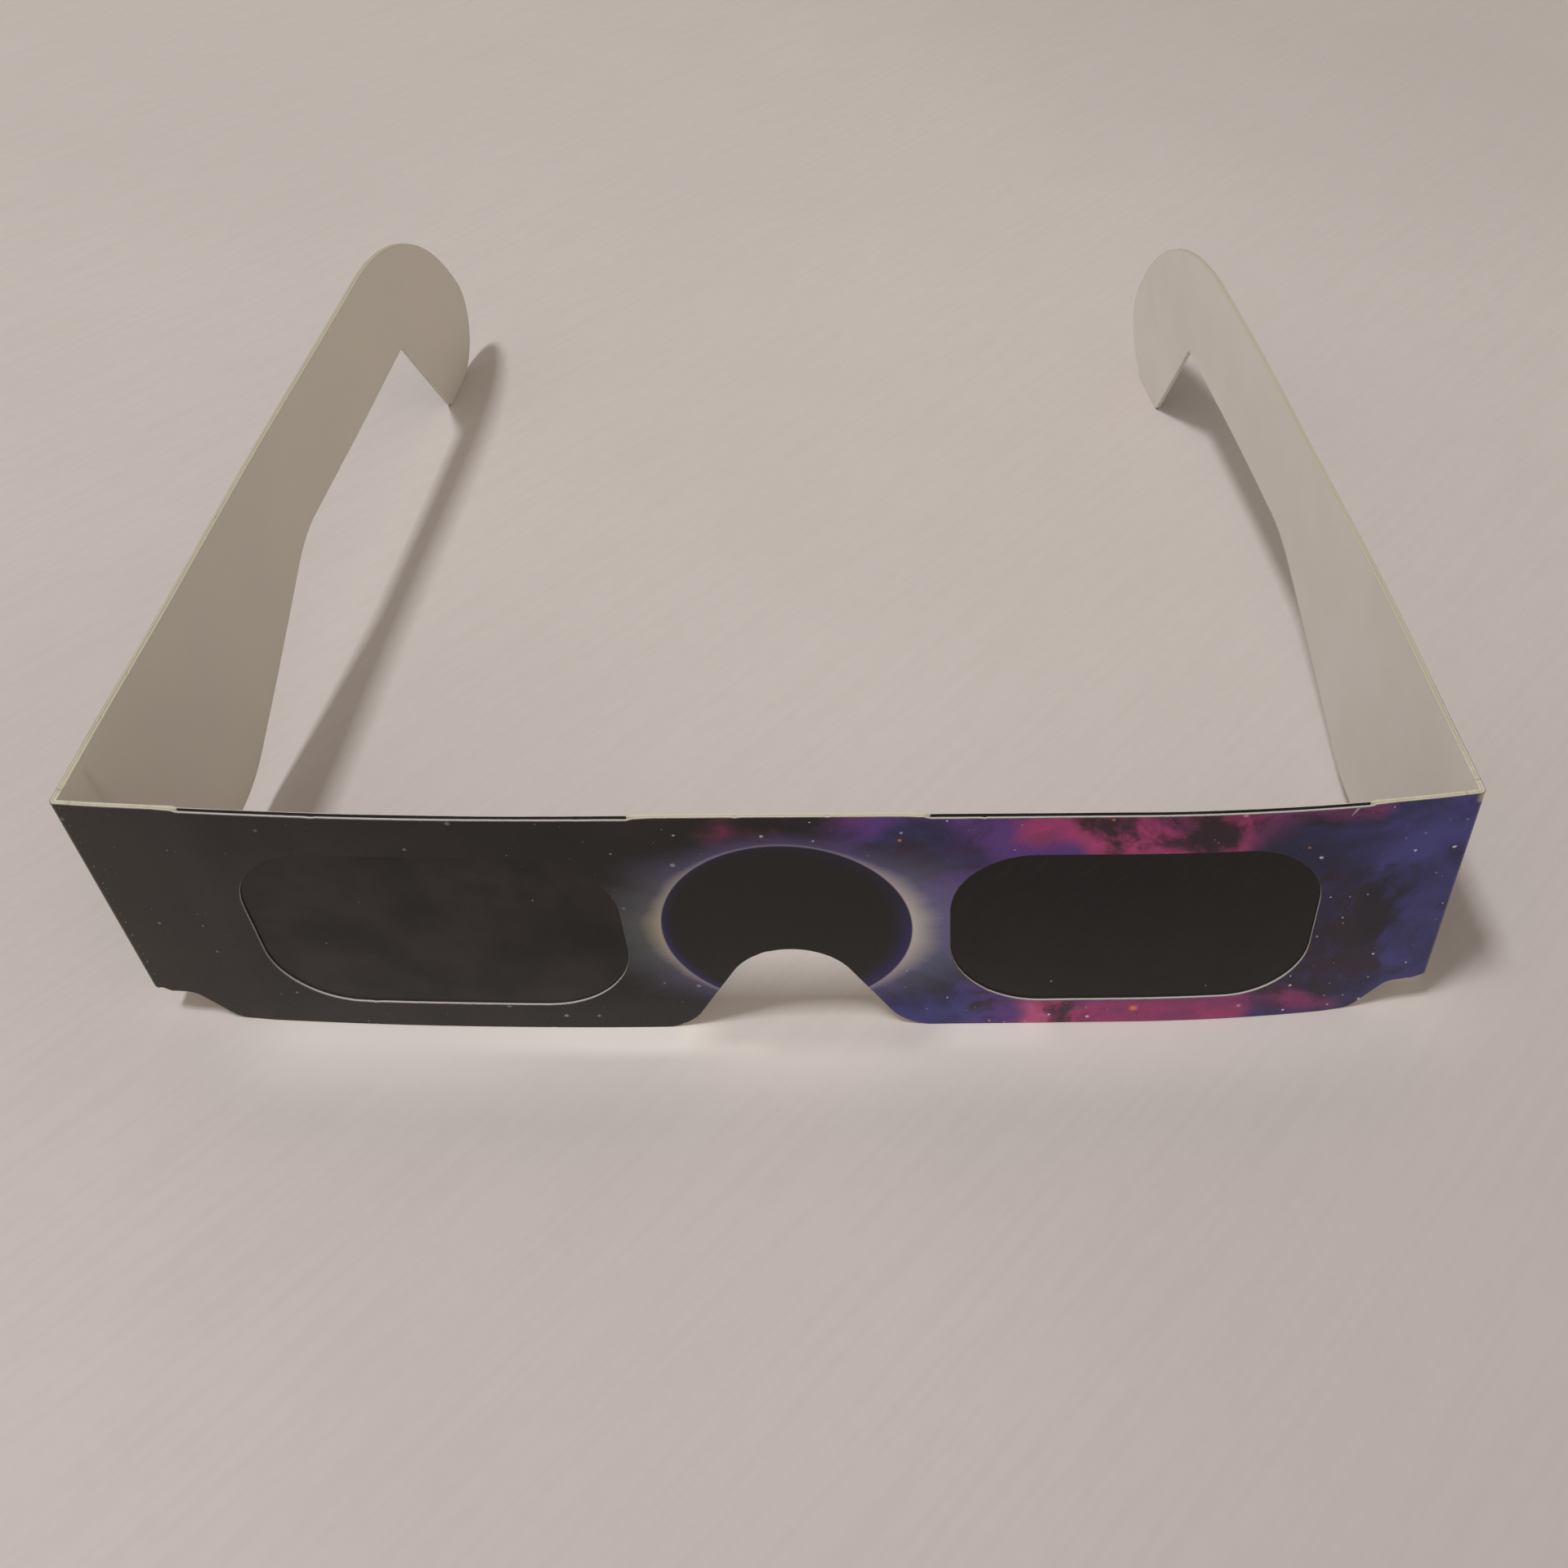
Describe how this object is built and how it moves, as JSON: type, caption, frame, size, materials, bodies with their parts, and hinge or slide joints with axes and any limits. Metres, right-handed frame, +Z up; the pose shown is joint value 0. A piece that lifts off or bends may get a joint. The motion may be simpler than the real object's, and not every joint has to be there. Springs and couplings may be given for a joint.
{
  "type": "eclipse glasses",
  "caption": "Paper glasses with dark filter films in two windows, a notch for the nose, and folding card temples with ear hooks, for looking at the sun.",
  "frame": {"origin": "on the table, in the middle of the box that holds the whole object", "axes": "+X to the right as the printed face is seen, +Y from the panel back along the temples, +Z up"},
  "size_m": [0.1416, 0.138, 0.0345],
  "materials": {
    "printed_card": "semi-matt coated print",
    "white_card": "uncoated white card",
    "glue": "dry paper glue",
    "filter_film": "smooth opaque black film"
  },
  "bodies": {
    "front": {"front_outer_card": "printed_card", "front_inner_card": "white_card", "front_glue_layer": "glue", "left_filter_film": "filter_film", "right_filter_film": "filter_film", "left_fold_outer_card": "printed_card", "left_fold_inner_card": "white_card", "right_fold_outer_card": "printed_card", "right_fold_inner_card": "white_card"},
    "left_temple": {"left_temple_outer_card": "printed_card", "left_temple_glue_layer": "glue", "left_temple_inner_card": "white_card"},
    "right_temple": {"right_temple_outer_card": "printed_card", "right_temple_glue_layer": "glue", "right_temple_inner_card": "white_card"}
  },
  "joints": [
    {"name": "left_temple_fold", "type": "hinge", "parent": "front", "child": "left_temple", "pos_m": [-0.07, -0.06572, 0], "axis": [0, 0, -1], "range_deg": [-88, 86], "deforming": ["left_fold_outer_card", "left_fold_inner_card"]},
    {"name": "right_temple_fold", "type": "hinge", "parent": "front", "child": "right_temple", "pos_m": [0.07, -0.06572, 0], "axis": [0, 0, 1], "range_deg": [-90, 66], "deforming": ["right_fold_outer_card", "right_fold_inner_card"]}
  ]
}
